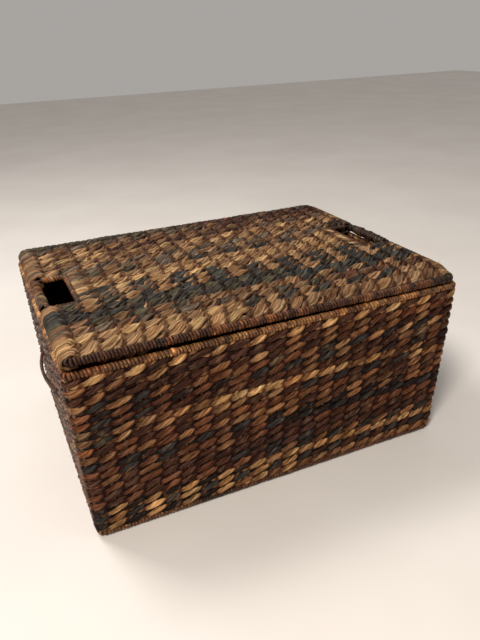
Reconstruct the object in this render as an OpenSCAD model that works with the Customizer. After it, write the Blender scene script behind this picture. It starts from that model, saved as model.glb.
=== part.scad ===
// Rectangular lidded storage basket: twined strands over rods, on a rod frame.
// Millimetres, +Z up, origin on the floor under the middle of the basket.
// The long side runs along X and the front faces -Y.

/* [Basket] */
// Length over the rim binding
basket_length = 610; // [520:5:700]
// Depth over the rim binding, front to back
basket_depth = 457; // [380:5:540]
// Height from the floor to the top of the rim binding
rim_height = 277; // [220:1:330]
// How far each side of the bottom edge sits inside the rim
taper = 12; // [4:1:18]
// Thickness of a woven wall
wall_thickness = 11; // [10:0.5:12]
// Thickness of the woven base
base_thickness = 9; // [8:0.5:10]

/* [Frame] */
// Radius of the rim and lid frame rods
frame_rod_r = 3; // [2.5:0.25:3.5]
// Radius of the bottom frame rod
bottom_rod_r = 2.5; // [2:0.25:3]
// Radius of the four corner posts
post_r = 2.5; // [2:0.25:3]
// Radius of a stake, of a rib and of a hand hole's rod
stake_r = 2; // [1.5:0.25:2.25]
// Least spacing of the stakes along the bottom edge, and of the base's ribs
stake_pitch = 27; // [22:1:40]
// Least spacing of the lid's ribs
rib_pitch = 29; // [24:1:40]

/* [Bindings] */
// Outside radius of the coiled rim binding
rim_binding_r = 6.5; // [6:0.25:7]
// Outside radius of the coiled bottom binding
bottom_binding_r = 5; // [4.5:0.25:5.5]
// Corner radius of the rim and bottom rods, on their centre line
corner_r = 8; // [7.5:0.5:11]

/* [Lid] */
// How far the lid stands inside the rim's outer edge on every side
lid_inset = 3; // [2:0.5:5]
// Height of the closed basket, from the floor to the top of the lid's weave
closed_height = 300.5; // [300:0.5:302]
// Thickness of the lid's weave
lid_thickness = 14.5; // [13:0.5:16]
// Corner radius of the lid's rod, on its centre line
lid_corner_r = 12; // [10:0.5:18]
// Outside radius of the coiled bindings on the lid's front and back edges
lid_binding_r = 6.6; // [6:0.1:7]
// Outside radius of the turned weave on the lid's two end rods
lid_edge_r = 10; // [9:0.25:10.5]
// Outside radius of the wrapped grip bars
grip_r = 6.5; // [6:0.25:7.5]
// Outside radius of the coiled bindings around the hand holes
hole_binding_r = 4.5; // [4.25:0.25:5]
// Length of a hand hole, front to back
hole_length = 108; // [95:1:125]
// Distance from the rim's outer edge to the far side of a hand hole
hole_reach = 54.5; // [50:0.5:64]

/* [Handles] */
// Distance between the two ends of a bow handle
handle_span = 176; // [172:1:180]
// Height of a bow handle's middle above the floor
handle_height = 165; // [150:1:180]
// How far a bow handle's middle stands out from the wall, to its outer side
handle_stand = 13; // [12:0.5:20]
// Radius of a handle's cane
handle_r = 2.75; // [2.5:0.25:3.25]

/* [Hidden] */

// Clearance round a rod inside its binding or the weave
rod_gap = 0.1;
// Gap left between two woven or bound pieces that lie side by side
piece_gap = 0.2;
// Gap between the closed lid and the rim that it rests on
rest_gap = 0.3;
// Extra length on cutting shapes, so that they pass right through
over = 5;
// Segments on rods, bindings and corners
$fn = 48;

half_l = basket_length / 2;
half_d = basket_depth / 2;
tilt = atan(taper / rim_height);
rim_z = rim_height - rim_binding_r;
bottom_z = bottom_binding_r;
bottom_inset = taper + bottom_binding_r;
wall_low_z = 2 * bottom_binding_r + piece_gap;
wall_high_z = rim_z - rim_binding_r - piece_gap;
stake_low_z = bottom_z + bottom_rod_r + piece_gap;
stake_high_z = rim_z - frame_rod_r - piece_gap;
stake_inset = wall_thickness / 2;
// The posts stand a little further in, under the rods' round corners
post_inset = stake_inset + 1.5;
// How far the outer corner of a wall is cut back on each face
corner_cut = 3.5;
base_half_l = half_l - taper - 2 * bottom_binding_r - piece_gap;
base_half_d = half_d - taper - 2 * bottom_binding_r - piece_gap;

lid_half_l = half_l - lid_inset;
lid_half_d = half_d - lid_inset;
lid_rod_z = rim_height + rest_gap + lid_edge_r;
lid_low_z = closed_height - lid_thickness;
lid_rod_x = lid_half_l - lid_edge_r;
lid_rod_y = lid_half_d - lid_binding_r;
// Ribs and hand hole rods lie on top of the lid's frame rod
rib_z = lid_rod_z + frame_rod_r + stake_r + piece_gap;
hole_half = hole_length / 2;
hole_rod_x = half_l - hole_reach - hole_binding_r;
hole_rod_y = hole_half + hole_binding_r;
hole_turn_r = hole_binding_r + 2;
edge_end_y = lid_rod_y - lid_corner_r - piece_gap;
middle_x = hole_rod_x - hole_binding_r - piece_gap;
weave_x = lid_rod_x - lid_edge_r - piece_gap;
weave_y = lid_rod_y - lid_binding_r - piece_gap;
weave_hole_y = hole_rod_y + hole_binding_r + piece_gap;

// A bow handle is an arc whose ends lie in the middle of the wall
bow_rise = handle_stand - handle_r + wall_thickness / 2;
bow_r = (pow(handle_span / 2, 2) + pow(bow_rise, 2)) / (2 * bow_rise);
bow_half_angle = asin(handle_span / 2 / bow_r);
lashing_r = handle_r + 2;
// Part of the arc that one lashing covers
lashing_angle = 4.5;

strand_brown = [0.36, 0.25, 0.17];
strand_dark = [0.25, 0.19, 0.16];
strand_tan = [0.70, 0.52, 0.32];
strand_slate = [0.27, 0.29, 0.28];
cane = [0.45, 0.38, 0.31];
rod_metal = [0.22, 0.21, 0.20];

// How far a wall's outer face stands inside the rim at height z
function lean(z) = taper * (1 - z / rim_height);

// Places of evenly spread rods between the two ends of a centred span
function places(span, pitch) =
  let (n = floor(span / pitch), step = span / n)
  [for (i = [1 : n - 1]) i * step - span / 2];

// A tube's section: a disc, with a round hole where inner is above 0
module tube_section(outer, inner) {
  difference() {
    circle(outer);
    if (inner > 0)
      circle(inner);
  }
}

// A straight tube between two points, solid where inner is 0
module tube(a, b, outer, inner = 0) {
  d = b - a;
  translate(a)
    rotate([0, acos(d[2] / norm(d)), atan2(d[1], d[0])])
      linear_extrude(norm(d))
        tube_section(outer, inner);
}

// A quarter turn of tube about the origin, from +X to +Y
module tube_turn(turn_r, outer, inner) {
  rotate_extrude(angle = 90)
    translate([turn_r, 0])
      tube_section(outer, inner);
}

// The front side of a rectangular ring of tube, with its two round corners;
// hx and hy reach the tube's centre line
module ring_front(hx, hy, z, turn_r, outer, inner) {
  sx = hx - turn_r;
  sy = hy - turn_r;
  tube([-sx, -hy, z], [sx, -hy, z], outer, inner);
  translate([-sx, -sy, z])
    rotate(180)
      tube_turn(turn_r, outer, inner);
  translate([sx, -sy, z])
    rotate(270)
      tube_turn(turn_r, outer, inner);
}

// A whole rectangular ring of tube
module ring(hx, hy, z, turn_r, outer, inner = 0) {
  sy = hy - turn_r;
  for (turn = [0, 180])
    rotate(turn) {
      ring_front(hx, hy, z, turn_r, outer, inner);
      tube([hx, -sy, z], [hx, sy, z], outer, inner);
    }
}

// A corner post's solid; sx and sy are the signs of its corner
module post(half_x, half_y, sx, sy, z0, z1, r) {
  i0 = post_inset + lean(z0);
  i1 = post_inset + lean(z1);
  tube([sx * (half_x - i0), sy * (half_y - i0), z0], [sx * (half_x - i1), sy * (half_y - i1), z1], r);
}

// The stakes of a front wall, fanned between its two corner posts
module stakes(half_x, half_y, z0, z1, r) {
  low_half = half_x - post_inset - lean(0);
  for (x = places(2 * low_half, stake_pitch)) {
    share = x / low_half;
    x0 = share * (half_x - post_inset - lean(z0));
    x1 = share * (half_x - post_inset - lean(z1));
    tube([x0, stake_inset + lean(z0) - half_y, z0], [x1, stake_inset + lean(z1) - half_y, z1], r);
  }
}

// What is cut off a leaning wall's outer corner
module corner_trim(half_x, half_y, sx) {
  size = 4 * over;
  cut = corner_cut / 2;
  translate([sx * (half_x - lean(0) - cut), -(half_y - lean(0) - cut), 0])
    rotate([0, atan(norm([taper, taper]) / rim_height), atan2(-1, sx)])
      translate([0, -size, -over])
        cube([size, 2 * size, rim_height + 2 * over]);
}

// A leaning front wall between the bottom and rim bindings, mitred at its corners
module wall_slab(half_x, half_y) {
  reach = wall_thickness + taper + over;
  outer_x = half_x + over - piece_gap;
  inner_x = half_x - reach - piece_gap;
  difference() {
    intersection() {
      translate([0, -half_y, rim_height])
        rotate([tilt, 0, 0])
          translate([-half_x, 0, -rim_height - over])
            cube([2 * half_x, wall_thickness, rim_height + over]);
      translate([0, 0, wall_low_z])
        linear_extrude(wall_high_z - wall_low_z)
          polygon([
            [-outer_x, -half_y - over], [outer_x, -half_y - over],
            [inner_x, reach - half_y], [-inner_x, reach - half_y]
          ]);
    }
    for (sx = [-1, 1])
      corner_trim(half_x, half_y, sx);
  }
}

// A woven front wall: the slab, bored for its stakes and corner posts
module wall_weave(half_x, half_y) {
  low = wall_low_z - over;
  high = wall_high_z + over;
  difference() {
    wall_slab(half_x, half_y);
    stakes(half_x, half_y, low, high, stake_r + rod_gap);
    for (sx = [-1, 1])
      post(half_x, half_y, sx, -1, low, high, post_r + rod_gap);
  }
}

// A plate from height z0 up, with its corners at the signs in cuts cut off
module plate(x0, x1, y0, y1, z0, height, cuts) {
  cx = (x0 + x1) / 2;
  cy = (y0 + y1) / 2;
  hx = (x1 - x0) / 2;
  hy = (y1 - y0) / 2;
  c = corner_cut;
  difference() {
    translate([x0, y0, z0])
      cube([x1 - x0, y1 - y0, height]);
    for (s = cuts)
      translate([cx + s[0] * hx, cy + s[1] * hy, z0 - over])
        rotate(45)
          translate([-c, -c])
            cube([2 * c, 2 * c, height + 2 * over]);
  }
}

// The ribs of the base, between the front and back bottom rods
module base_rods(r) {
  reach = half_d - bottom_inset - bottom_rod_r - piece_gap;
  for (x = places(2 * base_half_l, stake_pitch))
    tube([x, -reach, base_thickness / 2], [x, reach, base_thickness / 2], r);
}

// The ribs of the lid, on top of its front and back rods, clear of the hand holes
module lid_rods(r) {
  for (x = places(2 * lid_rod_x, rib_pitch))
    if (abs(x) < middle_x)
      tube([x, -lid_rod_y, rib_z], [x, lid_rod_y, rib_z], r);
    else
      for (s = [-1, 1])
        tube([x, s * (hole_rod_y + stake_r + piece_gap), rib_z], [x, s * lid_rod_y, rib_z], r);
}

// The U of rod or binding round the right hand hole, its legs reaching x = leg_x
module hole_u(leg_x, outer, inner) {
  sx = hole_rod_x + hole_turn_r;
  sy = hole_rod_y - hole_turn_r;
  tube([hole_rod_x, -sy, rib_z], [hole_rod_x, sy, rib_z], outer, inner);
  translate([sx, sy, rib_z])
    rotate(90)
      tube_turn(hole_turn_r, outer, inner);
  translate([sx, -sy, rib_z])
    rotate(180)
      tube_turn(hole_turn_r, outer, inner);
  for (s = [-1, 1])
    tube([sx, s * hole_rod_y, rib_z], [leg_x, s * hole_rod_y, rib_z], outer, inner);
}

// A stretch of the right bow handle, from angle a0 to a1 off its middle
module bow(a0, a1, outer, inner = 0) {
  translate([half_l - lean(handle_height) + handle_stand - handle_r - bow_r, 0, handle_height])
    rotate(a0)
      rotate_extrude(angle = a1 - a0)
        translate([bow_r, 0])
          tube_section(outer, inner);
}

module bottom_frame() {
  color(rod_metal)
    ring(half_l - bottom_inset, half_d - bottom_inset, bottom_z, corner_r, bottom_rod_r);
}

module bottom_binding() {
  color(strand_brown)
    ring(half_l - bottom_inset, half_d - bottom_inset, bottom_z, corner_r,
      bottom_binding_r, bottom_rod_r + rod_gap);
}

module rim_frame() {
  color(rod_metal)
    ring(half_l - rim_binding_r, half_d - rim_binding_r, rim_z, corner_r, frame_rod_r);
}

module rim_binding() {
  color(strand_tan)
    ring(half_l - rim_binding_r, half_d - rim_binding_r, rim_z, corner_r,
      rim_binding_r, frame_rod_r + rod_gap);
}

module corner_post(sx, sy) {
  color(cane)
    post(half_l, half_d, sx, sy, stake_low_z, stake_high_z, post_r);
}

// Stakes of the wall that faces the given turn of -Y
module wall_stakes(turn, half_x, half_y) {
  color(cane)
    rotate(turn)
      stakes(half_x, half_y, stake_low_z, stake_high_z, stake_r);
}

module base_ribs() {
  color(cane)
    base_rods(stake_r);
}

// Weave of the wall that faces the given turn of -Y
module wall_panel(turn, half_x, half_y) {
  color(strand_brown)
    rotate(turn)
      wall_weave(half_x, half_y);
}

module base_weave() {
  color(strand_brown)
    difference() {
      plate(-base_half_l, base_half_l, -base_half_d, base_half_d, 0, base_thickness,
        [[1, 1], [1, -1], [-1, 1], [-1, -1]]);
      base_rods(stake_r + rod_gap);
    }
}

// Bow handle on the side with sign s
module handle(s) {
  color(cane)
    rotate(s > 0 ? 0 : 180)
      bow(-bow_half_angle, bow_half_angle, handle_r);
}

// The two lashings that hold a bow handle's ends to the wall
module handle_lashings(s) {
  color(strand_dark)
    rotate(s > 0 ? 0 : 180) {
      bow(-bow_half_angle, lashing_angle - bow_half_angle, lashing_r, handle_r + rod_gap);
      bow(bow_half_angle - lashing_angle, bow_half_angle, lashing_r, handle_r + rod_gap);
    }
}

module lid_frame() {
  color(rod_metal)
    ring(lid_rod_x, lid_rod_y, lid_rod_z, lid_corner_r, frame_rod_r);
}

module lid_ribs() {
  color(cane)
    lid_rods(stake_r);
}

// Coiled binding of the lid's front edge, or of its back edge where turn is 180
module lid_long_binding(turn, tint) {
  color(tint)
    rotate(turn)
      ring_front(lid_rod_x, lid_rod_y, lid_rod_z, lid_corner_r, lid_binding_r, frame_rod_r + rod_gap);
}

// Weave turned round an end rod of the lid, before and behind the hand hole
module lid_edge(s) {
  color(strand_brown)
    for (t = [-1, 1])
      tube([s * lid_rod_x, t * hole_half, lid_rod_z], [s * lid_rod_x, t * edge_end_y, lid_rod_z],
        lid_edge_r, frame_rod_r + rod_gap);
}

// Wrapped bar between a hand hole and the lid's end
module lid_grip(s) {
  reach = hole_half - piece_gap;
  color(strand_dark)
    tube([s * lid_rod_x, -reach, lid_rod_z], [s * lid_rod_x, reach, lid_rod_z],
      grip_r, frame_rod_r + rod_gap);
}

// Rod that frames the inner sides of a hand hole
module lid_hole_frame(s) {
  color(rod_metal)
    rotate(s > 0 ? 0 : 180)
      hole_u(lid_rod_x, stake_r, 0);
}

// Coiled binding on a hand hole's rod
module lid_hole_binding(s) {
  color(strand_tan)
    rotate(s > 0 ? 0 : 180)
      hole_u(lid_rod_x - lid_edge_r - piece_gap, hole_binding_r, stake_r + rod_gap);
}

module lid_weave_middle() {
  color(strand_slate)
    difference() {
      plate(-middle_x, middle_x, -weave_y, weave_y, lid_low_z, lid_thickness, []);
      lid_rods(stake_r + rod_gap);
    }
}

// Weave between a hand hole and a corner of the lid; sx and sy are the corner's signs
module lid_corner_weave(sx, sy) {
  xs = [sx * (middle_x + piece_gap), sx * weave_x];
  ys = [sy * weave_hole_y, sy * weave_y];
  color(strand_brown)
    difference() {
      plate(min(xs), max(xs), min(ys), max(ys), lid_low_z, lid_thickness, [[sx, sy]]);
      lid_rods(stake_r + rod_gap);
    }
}

bottom_frame();
bottom_binding();
rim_frame();
rim_binding();
corner_post(-1, -1);  // corner_post_front_left
corner_post(1, -1);  // corner_post_front_right
corner_post(-1, 1);  // corner_post_back_left
corner_post(1, 1);  // corner_post_back_right
wall_stakes(0, half_l, half_d);  // front_stakes
wall_stakes(180, half_l, half_d);  // back_stakes
wall_stakes(-90, half_d, half_l);  // left_stakes
wall_stakes(90, half_d, half_l);  // right_stakes
base_ribs();
wall_panel(0, half_l, half_d);  // front_weave
wall_panel(180, half_l, half_d);  // back_weave
wall_panel(-90, half_d, half_l);  // left_weave
wall_panel(90, half_d, half_l);  // right_weave
base_weave();
handle(-1);  // left_handle
handle(1);  // right_handle
handle_lashings(-1);  // left_handle_lashings
handle_lashings(1);  // right_handle_lashings
lid_frame();
lid_ribs();
lid_long_binding(0, strand_dark);  // lid_front_binding
lid_long_binding(180, strand_slate);  // lid_back_binding
lid_edge(-1);  // lid_left_edge
lid_edge(1);  // lid_right_edge
lid_grip(-1);  // lid_left_grip
lid_grip(1);  // lid_right_grip
lid_hole_frame(-1);  // lid_left_hole_frame
lid_hole_frame(1);  // lid_right_hole_frame
lid_hole_binding(-1);  // lid_left_hole_binding
lid_hole_binding(1);  // lid_right_hole_binding
lid_weave_middle();
lid_corner_weave(-1, -1);  // lid_weave_front_left
lid_corner_weave(-1, 1);  // lid_weave_back_left
lid_corner_weave(1, -1);  // lid_weave_front_right
lid_corner_weave(1, 1);  // lid_weave_back_right
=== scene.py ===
import math

import bpy
import numpy as np
from mathutils import Matrix, Vector


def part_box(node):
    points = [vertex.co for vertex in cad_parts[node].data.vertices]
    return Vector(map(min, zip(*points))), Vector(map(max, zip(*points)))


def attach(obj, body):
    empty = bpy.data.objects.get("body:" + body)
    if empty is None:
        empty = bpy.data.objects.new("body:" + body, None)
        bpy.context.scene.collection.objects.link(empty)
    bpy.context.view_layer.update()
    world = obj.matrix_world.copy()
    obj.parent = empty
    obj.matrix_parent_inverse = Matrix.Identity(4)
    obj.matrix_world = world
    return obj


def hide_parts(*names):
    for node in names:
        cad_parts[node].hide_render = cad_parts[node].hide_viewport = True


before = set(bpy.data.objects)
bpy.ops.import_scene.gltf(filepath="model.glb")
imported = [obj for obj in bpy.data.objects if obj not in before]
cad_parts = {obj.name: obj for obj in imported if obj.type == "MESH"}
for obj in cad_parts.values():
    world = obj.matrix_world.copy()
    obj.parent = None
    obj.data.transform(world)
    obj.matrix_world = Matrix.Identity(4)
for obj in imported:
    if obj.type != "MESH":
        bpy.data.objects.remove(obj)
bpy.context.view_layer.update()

MM = 0.001
UP = np.array([0.0, 0.0, 1.0])

# ---- colours


def srgb(red, green, blue):
    """Linear colour of an sRGB one given as 0 to 255."""
    c = np.array([red, green, blue]) / 255
    return np.where(c <= 0.04045, c / 12.92, ((c + 0.055) / 1.055) ** 2.4)


LEAF = {
    "black": srgb(33, 20, 14),
    "slate": srgb(46, 41, 34),
    "green": srgb(58, 50, 35),
    "plum": srgb(54, 33, 24),
    "dark": srgb(50, 29, 18),
    "brown": srgb(78, 48, 30),
    "russet": srgb(90, 56, 32),
    "grey": srgb(80, 64, 48),
    "umber": srgb(96, 66, 41),
    "tan": srgb(120, 86, 54),
    "gold": srgb(142, 106, 66),
    "blonde": srgb(184, 146, 94),
}
NAMES = list(LEAF)
PAINT = np.array([LEAF[name] for name in NAMES])


def run_colours(rng, count, weights, shortest, longest):
    """Colour numbers of a strand's floats: one leaf after another, each lasting this many floats."""
    names = [NAMES.index(name) for name in weights]
    share = np.array([weights[name] for name in weights], float)
    picks = []
    while len(picks) < count:
        length = int(rng.integers(shortest, longest + 1))
        picks += [int(rng.choice(names, p=share / share.sum()))] * length
    return np.array(picks[:count])


# ---- meshes


def smooth(x):
    """An S-shaped step from 0 at 0 to 1 at 1."""
    x = np.clip(x, 0, 1)
    return x * x * (3 - 2 * x)


def blend(low, high, share):
    return low + (high - low) * share


def signed_power(v, power):
    return np.sign(v) * np.abs(v) ** power


def xyz(x, y, z):
    """Points or directions from their coordinates, some of which may be one number for all."""
    return np.stack(np.broadcast_arrays(x, y, z), -1)


def unit(v):
    return v / np.linalg.norm(v, axis=-1, keepdims=True)


def line_lengths(line):
    """How far along a line each of its points is."""
    step = np.linalg.norm(np.diff(line, axis=0), axis=1)
    return np.concatenate([[0], np.cumsum(step)])


class Section:
    """A strand's cross-section: a across it from -1 to 1 and b through it. face and back are how many
    steps it has on each side, and a larger square makes it boxier."""

    def __init__(self, face, back, square):
        top = np.linspace(1, -1, face + 1)
        low = np.linspace(-1, 1, back + 1)[1:-1]
        self.a = np.concatenate([top, low])
        bulge = (1 - np.abs(self.a) ** square) ** (1 / square)
        side = np.concatenate([np.ones(face + 1), -np.ones(back - 1)])
        self.b = bulge * side
        self.face = np.clip(side, 0, 1) * (1 - self.a**2)
        self.size = len(self.a)


WALL_SECTION = Section(12, 4, 2.2)
LID_SECTION = Section(7, 3, 2.4)
PLAIN_SECTION = Section(7, 4, 2.4)
ROUND_SECTION = Section(6, 6, 2.0)
FIBRE_SECTION = Section(3, 2, 2.0)


class Skein:
    """The strands of one piece, gathered as rings of vertices."""

    def __init__(self):
        self.points, self.quads, self.caps = [], [], []
        self.tint, self.grain = [], []
        self.count = 0

    def strand(self, centre, out, half_w, half_t, colour, seed, section, ridge=None, bare=None):
        """One strand along centre, its showing face turned to out. ridge lifts the face, and bare says
        how far the strand lies in the open, from 0 to 1, which sets the material's painted shade."""
        n, m = len(centre), section.size
        tangent = unit(np.gradient(centre, axis=0))
        side = unit(np.cross(tangent, out))
        out = np.cross(side, tangent)
        lift = half_t[:, None] * section.b
        if ridge is not None:
            lift = lift + ridge
        ring = (
            centre[:, None]
            + side[:, None] * (half_w[:, None] * section.a)[..., None]
            + out[:, None] * lift[..., None]
        )
        grain = np.empty((n, m, 3))
        grain[..., 0] = line_lengths(centre)[:, None]
        grain[..., 1] = section.a
        grain[..., 2] = np.broadcast_to(seed, n)[:, None]
        tint = np.ones((n, m, 4))
        tint[..., :3] = np.broadcast_to(colour, (n, 3))[:, None]
        # The alpha channel carries bare, for the leaf material's painted shade
        tint[..., 3] = 1 if bare is None else bare[:, None]
        index = self.count + np.arange(n * m).reshape(n, m)
        quad = np.stack([index[:-1], index[1:], np.roll(index[1:], -1, 1), np.roll(index[:-1], -1, 1)], -1)
        self.points.append(ring.reshape(-1, 3))
        self.quads.append(quad.reshape(-1, 4))
        self.caps += [index[0], index[-1][::-1]]
        self.tint.append(tint.reshape(-1, 4))
        self.grain.append(grain.reshape(-1, 3))
        self.count += n * m

    def build(self, name, material, body, slot, nodes, bend=None):
        """Makes the piece: its material and body, and the CAD nodes that it stands for.
        bend moves its points. slot is not used."""
        points = np.concatenate(self.points)
        if bend is not None:
            points = bend(points)
        quads = np.concatenate(self.quads)
        loops = np.concatenate([quads.ravel(), *self.caps])
        sizes = np.concatenate([np.full(len(quads), 4), [len(c) for c in self.caps]])
        starts = np.concatenate([[0], np.cumsum(sizes)[:-1]])
        mesh = bpy.data.meshes.new(name)
        mesh.vertices.add(len(points))
        mesh.vertices.foreach_set("co", points.astype(np.float32).ravel())
        mesh.loops.add(len(loops))
        mesh.loops.foreach_set("vertex_index", loops.astype(np.int32))
        mesh.polygons.add(len(sizes))
        mesh.polygons.foreach_set("loop_start", starts.astype(np.int32))
        mesh.polygons.foreach_set("use_smooth", np.ones(len(sizes), bool))
        for key, kind, field, values in (
            ("tint", "FLOAT_COLOR", "color", self.tint), ("grain", "FLOAT_VECTOR", "vector", self.grain)
        ):
            data = mesh.attributes.new(key, kind, "POINT").data
            data.foreach_set(field, np.concatenate(values).astype(np.float32).ravel())
        mesh.update(calc_edges=True)
        mesh.materials.append(material)
        piece = bpy.data.objects.new(name, mesh)
        bpy.context.scene.collection.objects.link(piece)
        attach(piece, body)
        if nodes:
            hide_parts(*nodes)
        return piece


# ---- materials


class Shader:
    """A node material with short calls for the nodes that it uses."""

    def __init__(self, name):
        self.material = bpy.data.materials.new(name)
        self.material.use_nodes = True
        self.tree = self.material.node_tree
        self.surface = self.tree.nodes["Principled BSDF"]

    def node(self, kind, **values):
        made = self.tree.nodes.new("ShaderNode" + kind)
        for key, value in values.items():
            setattr(made, key, value)
        return made

    def put(self, socket, value):
        if isinstance(value, bpy.types.NodeSocket):
            self.tree.links.new(value, socket)
        else:
            socket.default_value = value

    def math(self, operation, a, b=0.0):
        made = self.node("Math", operation=operation)
        self.put(made.inputs[0], a)
        self.put(made.inputs[1], b)
        return made.outputs[0]

    def span(self, value, low, high, to_low, to_high):
        made = self.node("MapRange", interpolation_type="SMOOTHSTEP")
        for socket, number in zip(made.inputs[:5], (value, low, high, to_low, to_high)):
            self.put(socket, number)
        return made.outputs[0]

    def mix(self, factor, a, b, blend="MIX"):
        """Colour a, turning to b as factor goes from 0 to 1."""
        made = self.node("Mix", data_type="RGBA", blend_type=blend)
        self.put(made.inputs["Factor"], factor)
        self.put(made.inputs[6], a)
        self.put(made.inputs[7], b)
        return made.outputs[2]

    def times(self, colour, factor):
        """Colour times another colour."""
        return self.mix(1.0, colour, factor, "MULTIPLY")

    def grey(self, value):
        made = self.node("CombineColor")
        for socket in made.inputs:
            self.put(socket, value)
        return made.outputs[0]

    def vector(self, x, y, z):
        made = self.node("CombineXYZ")
        for socket, value in zip(made.inputs, (x, y, z)):
            self.put(socket, value)
        return made.outputs[0]

    def noise(self, vector, scale, detail, roughness):
        made = self.node("TexNoise")
        self.put(made.inputs["Vector"], vector)
        self.put(made.inputs["Scale"], scale)
        self.put(made.inputs["Detail"], detail)
        self.put(made.inputs["Roughness"], roughness)
        return made.outputs["Fac"]

    def bump(self, height, distance, strength):
        made = self.node("Bump")
        self.put(made.inputs["Height"], height)
        self.put(made.inputs["Distance"], distance)
        self.put(made.inputs["Strength"], strength)
        self.put(self.surface.inputs["Normal"], made.outputs[0])


# Linear colours: what a leaf's own colour is multiplied by, and what spots on it turn to
WARM_BAND = (1.10, 0.95, 0.84, 1)
COOL_BAND = (0.90, 1.04, 1.15, 1)
# The painted shade runs from this warm dark tint to white
DEEP_SHADE = (0.12, 0.0, 0.0, 1)
WHITE = (1, 1, 1, 1)
STAIN = (0.018, 0.008, 0.004, 1)
SUN_SPOT = (0.33, 0.21, 0.11, 1)
BARE_FIBRE = (0.42, 0.285, 0.16, 1)


def leaf_material(name, fibres, streak, rough, hollow, shine):
    """Dried leaf: the strand's own tint with light and dark fibres along it, and painted shade where
    the strand dips under its neighbour and at its edges. fibres is how many cross half a strand's
    width, streak their length in metres, and hollow how much colour the painted shade leaves in dips."""
    s = Shader(name)
    tint = s.node("Attribute", attribute_name="tint")
    grain = s.node("Attribute", attribute_name="grain")
    parts = s.node("SeparateXYZ")
    s.put(parts.inputs[0], grain.outputs["Vector"])
    along, across, seed = parts.outputs
    own = s.math("MULTIPLY", seed, 31.7)

    def strand_noise(per_metre, per_half, detail=2.0, roughness=0.5):
        place = s.vector(s.math("MULTIPLY", along, per_metre), s.math("MULTIPLY", across, per_half), own)
        return s.noise(place, 1.0, detail, roughness)

    fine = strand_noise(1 / streak, fibres, 4.0, 0.62)
    band = strand_noise(0.35 / streak, fibres * 0.34)
    patch = strand_noise(60.0, fibres * 0.12)
    streaks = s.times(tint.outputs["Color"], s.grey(s.span(fine, 0.32, 0.68, 0.42, 1.62)))
    banded = s.times(streaks, s.grey(s.span(band, 0.36, 0.64, 0.52, 1.55)))
    varied = s.times(banded, s.mix(s.span(band, 0.35, 0.65, 0.0, 1.0), WARM_BAND, COOL_BAND))
    stained = s.mix(s.span(patch, 0.56, 0.74, 0.0, 0.6), varied, STAIN)
    sunned = s.mix(s.span(patch, 0.28, 0.44, 0.22, 0.0), stained, SUN_SPOT)
    fibre = s.math("MULTIPLY", s.span(fine, 0.60, 0.72, 0.0, 0.5), s.span(band, 0.5, 0.62, 0.0, 1.0))
    frayed = s.mix(fibre, sunned, BARE_FIBRE)
    # Painted shade: darker where the strand lies out of the open, as where it dips under its neighbour, and
    # towards its edges, and warmer there
    painted_dip_shade = s.span(tint.outputs["Alpha"], 0.0, 0.8, hollow, 1.0)
    rim = s.span(s.math("ABSOLUTE", across), 0.55, 1.0, 1.0, 0.5)
    shade = s.mix(s.math("MULTIPLY", painted_dip_shade, rim), DEEP_SHADE, WHITE)
    s.put(s.surface.inputs["Base Color"], s.times(frayed, shade))
    s.put(s.surface.inputs["Roughness"], s.span(fine, 0.3, 0.7, rough + 0.14, rough - 0.1))
    s.surface.inputs["Specular IOR Level"].default_value = shine
    s.bump(s.math("ADD", fine, s.math("MULTIPLY", band, 1.2)), 0.0007, 0.7)
    return s.material


def rod_material(name, colour, worn, squash, rough, metal):
    """A rod: colour with worn patches, streaked along the axis that squash makes short."""
    s = Shader(name)
    place = s.node("TexCoord").outputs["Object"]
    scaled = s.node("VectorMath", operation="MULTIPLY")
    s.put(scaled.inputs[0], place)
    s.put(scaled.inputs[1], squash)
    streak = s.noise(scaled.outputs[0], 900.0, 4.0, 0.6)
    patch = s.noise(scaled.outputs[0], 90.0, 3.0, 0.55)
    base = s.mix(s.span(patch, 0.42, 0.62, 0.0, 0.85), (*colour, 1), (*worn, 1))
    dark = s.grey(s.span(streak, 0.3, 0.7, 0.62, 1.2))
    s.put(s.surface.inputs["Base Color"], s.times(base, dark))
    s.put(s.surface.inputs["Roughness"], s.span(streak, 0.3, 0.7, rough + 0.12, rough - 0.1))
    s.surface.inputs["Metallic"].default_value = metal
    s.bump(s.math("ADD", streak, s.math("MULTIPLY", patch, 2.0)), 0.0003, 0.5)
    return s.material


# hollow sets how dark each material's painted shade gets where a strand dips
wall_leaf = leaf_material("weave_brown_leaf", fibres=4.6, streak=0.016, rough=0.42, hollow=0.08, shine=0.09)
lid_leaf = leaf_material("weave_lid_leaf", fibres=4.0, streak=0.018, rough=0.44, hollow=0.3, shine=0.10)
wrap_leaf = leaf_material("binding_wrap_leaf", fibres=2.6, streak=0.010, rough=0.42, hollow=0.6, shine=0.3)
dark_leaf = leaf_material("binding_dark_leaf", fibres=2.6, streak=0.010, rough=0.36, hollow=0.6, shine=0.2)
cane_skin = leaf_material("cane_skin", fibres=5.0, streak=0.030, rough=0.42, hollow=0.6, shine=0.5)
IRON = srgb(48, 42, 38)
RUST = srgb(78, 50, 33)
CANE = srgb(96, 72, 50)
CANE_DARK = srgb(66, 47, 33)
frame_iron = rod_material("frame_rod_iron", IRON, RUST, (1, 1, 1), 0.55, 0.7)
stake_cane = rod_material("stake_cane", CANE, CANE_DARK, (1, 1, 0.06), 0.6, 0.0)
rib_cane = rod_material("rib_cane", CANE, CANE_DARK, (1, 0.06, 1), 0.6, 0.0)


def keep_cad(material, slot, *nodes):
    """CAD nodes whose shape is right stay, with a better finish."""
    for name in nodes:
        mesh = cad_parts[name].data
        mesh.materials.clear()
        mesh.materials.append(material)


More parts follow.
